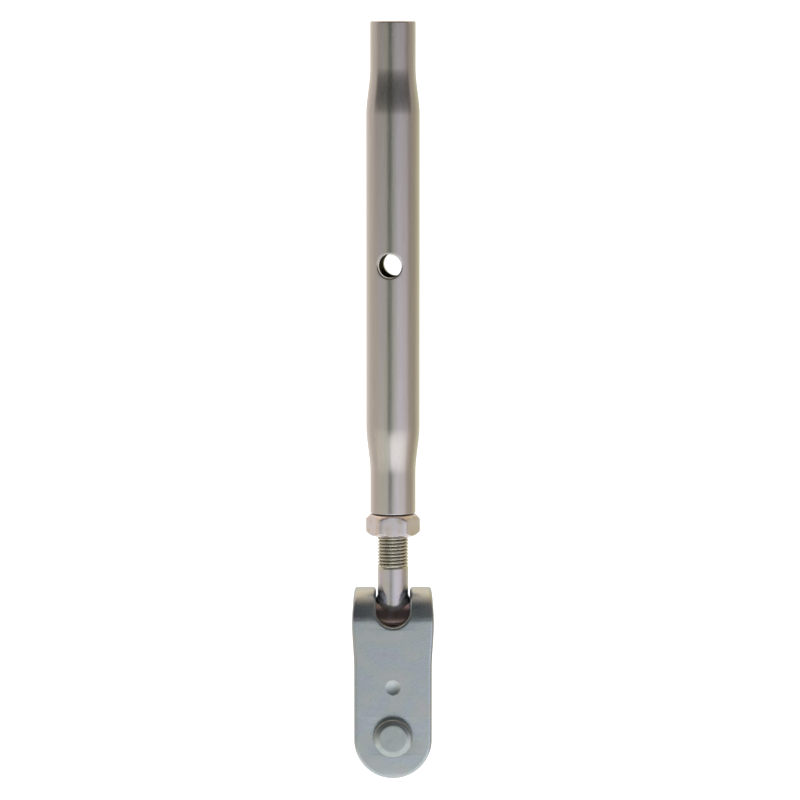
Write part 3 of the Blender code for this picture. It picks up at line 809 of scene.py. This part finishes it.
# A plain round dimple is punched in the front face.
DIMPLE_RADIUS, DIMPLE_DEPTH, DIMPLE_Z = 0.0024, 0.00028, -0.2050
punch_radius = (DIMPLE_RADIUS ** 2 + DIMPLE_DEPTH ** 2) / (2 * DIMPLE_DEPTH)
punch_shape = bmesh.new()
bmesh.ops.create_uvsphere(punch_shape, u_segments=192, v_segments=96, radius=punch_radius)
unpunched, punch = [bpy.data.objects.new(name, bpy.data.meshes.new(name))
                    for name in ("strap_before_punching", "punch")]
shape.to_mesh(unpunched.data)
punch_shape.to_mesh(punch.data)
for mesh_tool in (shape, punch_shape):
    mesh_tool.free()
punch.location = (0.0, -STRAP_OUTSIDE - punch_radius + DIMPLE_DEPTH, DIMPLE_Z)
for part in (unpunched, punch):
    scene.collection.objects.link(part)
punching = unpunched.modifiers.new("punching", "BOOLEAN")
punching.object = punch
punching.solver = "EXACT"
bpy.context.view_layer.update()
evaluated = unpunched.evaluated_get(bpy.context.evaluated_depsgraph_get())
shape = bmesh.new()
shape.from_mesh(evaluated.to_mesh())
for part in (unpunched, punch):
    bpy.data.objects.remove(part, do_unlink=True)

# 316 stainless strap, tumbled with stones and passivated: a soft satin blue-grey with fine pits
# and cloudy patches a few millimetres across.
tumbled_strap_steel, tree, shader, place = new_steel("tumbled_stainless_strap")
CLOUD, DENT = 0.0055, 0.0022
clouds = add_node(tree, "TexNoise", {"Vector": place, "Scale": 1 / CLOUD, "Detail": 1.0,
                                     "Roughness": 0.35})
cloud_tone = add_node(tree, "ValToRGB", {"Fac": clouds.outputs["Fac"]},
                      stops=[(0.25, "#B4B9C3"), (0.42, "#B0BBC1"), (0.58, "#B5BCBB"),
                             (0.75, "#BABAC2")])
STONE_PIT = 0.00028          # real pits are half this, drawn coarser so that they show
pits = add_node(tree, "TexNoise", {"Vector": place, "Scale": 1 / STONE_PIT, "Detail": 4.0,
                                   "Roughness": 0.65})
pit_tone = add_node(tree, "MapRange", {"Value": pits.outputs["Fac"], "From Min": 0.32,
                                       "From Max": 0.52, "To Min": 0.86, "To Max": 1.0})
strap_tone = add_node(tree, "MixRGB", {"Fac": 1.0, "Color1": cloud_tone.outputs["Color"],
                                       "Color2": pit_tone.outputs["Result"]},
                      blend_type="MULTIPLY")
strap_gloss = add_node(tree, "MapRange", {"Value": clouds.outputs["Fac"], "From Min": 0.3,
                                          "From Max": 0.7, "To Min": 0.24, "To Max": 0.32})
dents = add_node(tree, "TexNoise", {"Vector": place, "Scale": 1 / DENT, "Detail": 2.0})
soft_relief = add_node(tree, "Bump", {"Height": dents.outputs["Fac"], "Strength": 0.12,
                                      "Distance": 0.00012})
relief = add_node(tree, "Bump", {"Height": pits.outputs["Fac"], "Strength": 0.30,
                                 "Distance": 0.00003, "Normal": soft_relief.outputs["Normal"]})
link_up(tree, shader, strap_tone, strap_gloss, relief)

finished("toggle_strap", shape, "toggle_fork", "toggle_fork",
         tumbled_strap_steel, 40)


# ---- Clevis pin: turned from stainless bar, with a flat head whose rim is turned off, and a
# cross-drilled tail behind the rear cheek. It goes in from the front and turns freely.

PIN_RADIUS = 0.0095 / 2
PIN_FACE_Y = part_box("clevis_pin")[0].y
PIN_TAIL_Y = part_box("clevis_pin")[1].y
PIN_SEAT_Y = -STRAP_OUTSIDE - 0.0003
PIN_HEAD_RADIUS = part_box("clevis_pin")[1].x
PIN_FACE_RADIUS = PIN_HEAD_RADIUS - 0.0015
PIN_COLUMNS = 64
SPLIT_SET_BACK = 0.00125     # from the rear cheek to the split pin
SPLIT_LEG_RADIUS = 0.000575
SPLIT_Y = STRAP_OUTSIDE + SPLIT_SET_BACK + SPLIT_LEG_RADIUS
SPLIT_HOLE, SPLIT_HOLE_RIM = 0.0014, 0.0002
SPLIT_COLUMNS, SPLIT_ROWS = 5, 6         # each way from the middle of the split pin's hole
SPLIT_STEP = 0.00035


def pin_section():
    """Radius and place along Y: face, turned-off rim, head, shank with its drilled part, tail."""
    face_turns = [math.radians(15 * step) for step in range(1, 7)]
    rim = PIN_HEAD_RADIUS - PIN_FACE_RADIUS
    section = [(PIN_FACE_RADIUS - 0.0009, PIN_FACE_Y), (PIN_FACE_RADIUS - 0.0004, PIN_FACE_Y),
               (PIN_FACE_RADIUS - 0.00015, PIN_FACE_Y + 0.00004),
               (PIN_FACE_RADIUS + 0.00008, PIN_FACE_Y + 0.00022)]
    section += [(PIN_FACE_RADIUS + rim * (0.15 + 0.85 * math.sin(t)),
                 PIN_FACE_Y + 0.0003 + (rim - 0.0003) * (1 - math.cos(t))) for t in face_turns]
    section += [(PIN_HEAD_RADIUS, PIN_SEAT_Y - 0.0004), (PIN_HEAD_RADIUS, PIN_SEAT_Y - 0.00015),
                (PIN_HEAD_RADIUS - 0.00015, PIN_SEAT_Y), (PIN_RADIUS + 0.0004, PIN_SEAT_Y),
                (PIN_RADIUS, PIN_SEAT_Y), (PIN_RADIUS, PIN_SEAT_Y + 0.0004)]
    first = SPLIT_Y - SPLIT_ROWS * SPLIT_STEP
    section += [(PIN_RADIUS, y) for y in run(PIN_SEAT_Y + 0.002, first, 8)]
    middle = len(section) + SPLIT_ROWS
    section += [(PIN_RADIUS, y) for y in run(first, SPLIT_Y + SPLIT_ROWS * SPLIT_STEP,
                                             2 * SPLIT_ROWS)]
    section += [(PIN_RADIUS, SPLIT_Y + SPLIT_ROWS * SPLIT_STEP),
                (PIN_RADIUS, PIN_TAIL_Y - 0.0010), (PIN_RADIUS - 0.0001, PIN_TAIL_Y - 0.0008),
                (PIN_RADIUS - 0.0008, PIN_TAIL_Y - 0.0001), (PIN_RADIUS - 0.0010, PIN_TAIL_Y)]
    return section, middle


pin_profile, pin_middle = pin_section()


def on_pin(column, row):
    radius, y = between(pin_profile, row)
    turn = (column / PIN_COLUMNS - 0.25) * 2 * math.pi
    return radius * math.sin(turn), y, PIN_Z + radius * math.cos(turn)


shape = bmesh.new()
split_openings = [(centre - SPLIT_COLUMNS, centre + SPLIT_COLUMNS,
                   pin_middle - SPLIT_ROWS, pin_middle + SPLIT_ROWS)
                  for centre in (PIN_COLUMNS // 4, 3 * PIN_COLUMNS // 4)]
pin_skin = add_skin(shape, on_pin, PIN_COLUMNS, len(pin_profile) - 1, split_openings)
pin_column_angle = 2 * math.pi / PIN_COLUMNS
split_edges = []
for opening in split_openings:
    centre = (opening[0] + opening[1]) / 2
    edge_radius = SPLIT_HOLE + SPLIT_HOLE_RIM
    turns = [math.atan2((row - pin_middle) * SPLIT_STEP,
                        (column - centre) * pin_column_angle * PIN_RADIUS)
             for column, row in border(opening)]
    edge = [(centre + math.asin(edge_radius * math.cos(t) / PIN_RADIUS) / pin_column_angle,
             pin_middle + edge_radius * math.sin(t) / SPLIT_STEP) for t in turns]
    split_edges.append(add_window(shape, pin_skin, on_pin, opening, edge, 3))
last, far_edge = split_edges
for side, bend_degrees in ((1, 45), (1, 90), (-1, 90), (-1, 45)):
    bend = math.radians(bend_degrees)
    radius = SPLIT_HOLE + SPLIT_HOLE_RIM * (1 - math.sin(bend))
    sink = SPLIT_HOLE_RIM * (1 - math.cos(bend))
    ring = []
    for corner in split_edges[0]:
        away = Vector((corner.co.x, corner.co.y - SPLIT_Y)).normalized() * radius
        z = PIN_Z + side * (math.sqrt(PIN_RADIUS ** 2 - away.x ** 2) - sink)
        ring.append(shape.verts.new((away.x, SPLIT_Y + away.y, z)))
    joined(shape, last, ring)
    last = ring
facing = [min(far_edge, key=lambda far: (far.co.xy - near.co.xy).length)
          for near in split_edges[0]]
joined(shape, last, facing)
for row, shares in ((0, (0.75, 0.45)), (len(pin_profile) - 1, (0.5,))):
    rim = [pin_skin[column, row] for column in range(PIN_COLUMNS)]
    last = rim
    for share in shares:
        inner = [shape.verts.new((corner.co.x * share, corner.co.y,
                                  PIN_Z + (corner.co.z - PIN_Z) * share)) for corner in rim]
        joined(shape, last, inner)
        last = inner
    shape.faces.new(last)

# Turned stainless bar, degreased but not polished: fine rings round the head's face, a pale
# satin, and a little rubbing on the rim.
turned_pin_steel, tree, shader, place = new_steel("turned_stainless_bar")
split = add_node(tree, "SeparateXYZ", {"Vector": place}).outputs
up_from_pin = add_node(tree, "Math", {0: split["Z"], 1: PIN_Z}, operation="SUBTRACT")
face_place = add_node(tree, "CombineXYZ", {"X": split["X"], "Y": up_from_pin.outputs[0]})
from_pin_axis = add_node(tree, "VectorMath", {0: face_place.outputs[0]}, operation="LENGTH")
ring_place = add_node(tree, "CombineXYZ", {"X": from_pin_axis.outputs["Value"],
                                           "Y": split["Y"]})
LATHE_FEED, RUBBED_PATCH = 0.00016, 0.0028      # from ring to ring and rub to rub
rings = add_node(tree, "TexNoise", {"Vector": ring_place.outputs[0], "Scale": 1 / LATHE_FEED,
                                    "Detail": 2.0})
patches = add_node(tree, "TexNoise", {"Vector": place, "Scale": 1 / RUBBED_PATCH, "Detail": 3.0})
pin_tone = add_node(tree, "ValToRGB", {"Fac": patches.outputs["Fac"]},
                    stops=[(0.32, "#A2AEB0"), (0.5, "#ABB4B3"), (0.68, "#B2B7B9")])
pin_gloss = add_node(tree, "MapRange", {"Value": rings.outputs["Fac"], "From Min": 0.3,
                                        "From Max": 0.7, "To Min": 0.26, "To Max": 0.36})
relief = add_node(tree, "Bump", {"Height": rings.outputs["Fac"], "Strength": 0.2,
                                 "Distance": 0.00002})
link_up(tree, shader, pin_tone, pin_gloss, relief)

finished("clevis_pin_turning", shape, "clevis_pin", "clevis_pin",
         turned_pin_steel, 40)


# ---- Split pin: half-round stainless wire doubled back on itself, with an eye above the clevis
# pin's tail and two straight legs through it. It keeps the clevis pin in.

WIRE_RADIUS = 0.00112
LEGS_APART = 0.00004
EYE_TOP_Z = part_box("split_pin")[1].z - WIRE_RADIUS
NECK_Z = PIN_Z + PIN_RADIUS + 0.0013
LEG_TIP_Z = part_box("split_pin")[0].z
EYE_HALF = 0.00128           # from the split pin's axis to the wire's flat inner side
right_side = [(LEGS_APART, LEG_TIP_Z), (LEGS_APART, LEG_TIP_Z + 0.001),
              (LEGS_APART, NECK_Z - 0.001), (LEGS_APART, NECK_Z - 0.0002),
              (EYE_HALF * 0.22, NECK_Z + 0.0003), (EYE_HALF * 0.68, NECK_Z + 0.0007),
              (EYE_HALF, EYE_TOP_Z - 0.00125), (EYE_HALF * 0.72, EYE_TOP_Z - 0.00035)]
left_side = [(-x, z) for x, z in reversed(right_side)]
LEFT_CUT_SHORT = 0.0012
left_side[-1] = (-LEGS_APART, LEG_TIP_Z + LEFT_CUT_SHORT)
left_side[-2] = (-LEGS_APART, LEG_TIP_Z + LEFT_CUT_SHORT + 0.001)
route = right_side + [(0.0, EYE_TOP_Z)] + left_side
CURVE_STEPS = 6


def smooth_route(points):
    """The route with even curves through its points."""
    ends = [points[0]] + points + [points[-1]]
    smooth = []
    for before, start, end, after in zip(ends, ends[1:], ends[2:], ends[3:]):
        for step in range(CURVE_STEPS):
            t = step / CURVE_STEPS
            smooth.append(Vector([0.5 * (2 * b + (c - a) * t
                                         + (2 * a - 5 * b + 4 * c - d) * t ** 2
                                         + (3 * b - a - 3 * c + d) * t ** 3)
                                  for a, b, c, d in zip(before, start, end, after)]))
    return smooth + [Vector(points[-1])]


path = smooth_route(route)
shape = bmesh.new()
last = None
for number, middle in enumerate(path):
    travel = (path[min(number + 1, len(path) - 1)] - path[max(number - 1, 0)]).normalized()
    out = Vector((travel.y, -travel.x))
    size = WIRE_RADIUS * (0.8 if number in (0, len(path) - 1) else 1.0)
    ring = []
    for degrees in range(-84, 85, 14):
        turn = math.radians(degrees)
        place = middle + out * (size * math.cos(turn))
        ring.append(shape.verts.new((place.x, SPLIT_Y + size * math.sin(turn), place.y)))
    for share in (0.8, 0.0, -0.8):
        ring.append(shape.verts.new((middle.x, SPLIT_Y + size * share, middle.y)))
    if last:
        joined(shape, last, ring)
    else:
        shape.faces.new(ring)
    last = ring
shape.faces.new(last)

# Drawn stainless wire: bright, with long fine lines, some of them greyer.
drawn_wire_steel, tree, shader, place = new_steel("drawn_half_round_stainless_wire")
WIRE_LINE = 0.00015
along_wire = add_node(tree, "Mapping", {"Vector": place, "Scale": (1.0, 1.0, 0.06)})
wire_lines = add_node(tree, "TexNoise", {"Vector": along_wire.outputs[0], "Scale": 1 / WIRE_LINE,
                                         "Detail": 3.0})
wire_tone = add_node(tree, "ValToRGB", {"Fac": wire_lines.outputs["Fac"]},
                     stops=[(0.3, "#A9A69F"), (0.6, "#C6C3BD"), (0.8, "#D2D0CB")])
wire_gloss = add_node(tree, "MapRange", {"Value": wire_lines.outputs["Fac"], "From Min": 0.3,
                                         "From Max": 0.7, "To Min": 0.22, "To Max": 0.34})
relief = add_node(tree, "Bump", {"Height": wire_lines.outputs["Fac"], "Strength": 0.2,
                                 "Distance": 0.00002})
link_up(tree, shader, wire_tone, wire_gloss, relief)

finished("split_pin_wire", shape, "split_pin", "split_pin",
         drawn_wire_steel, 45)
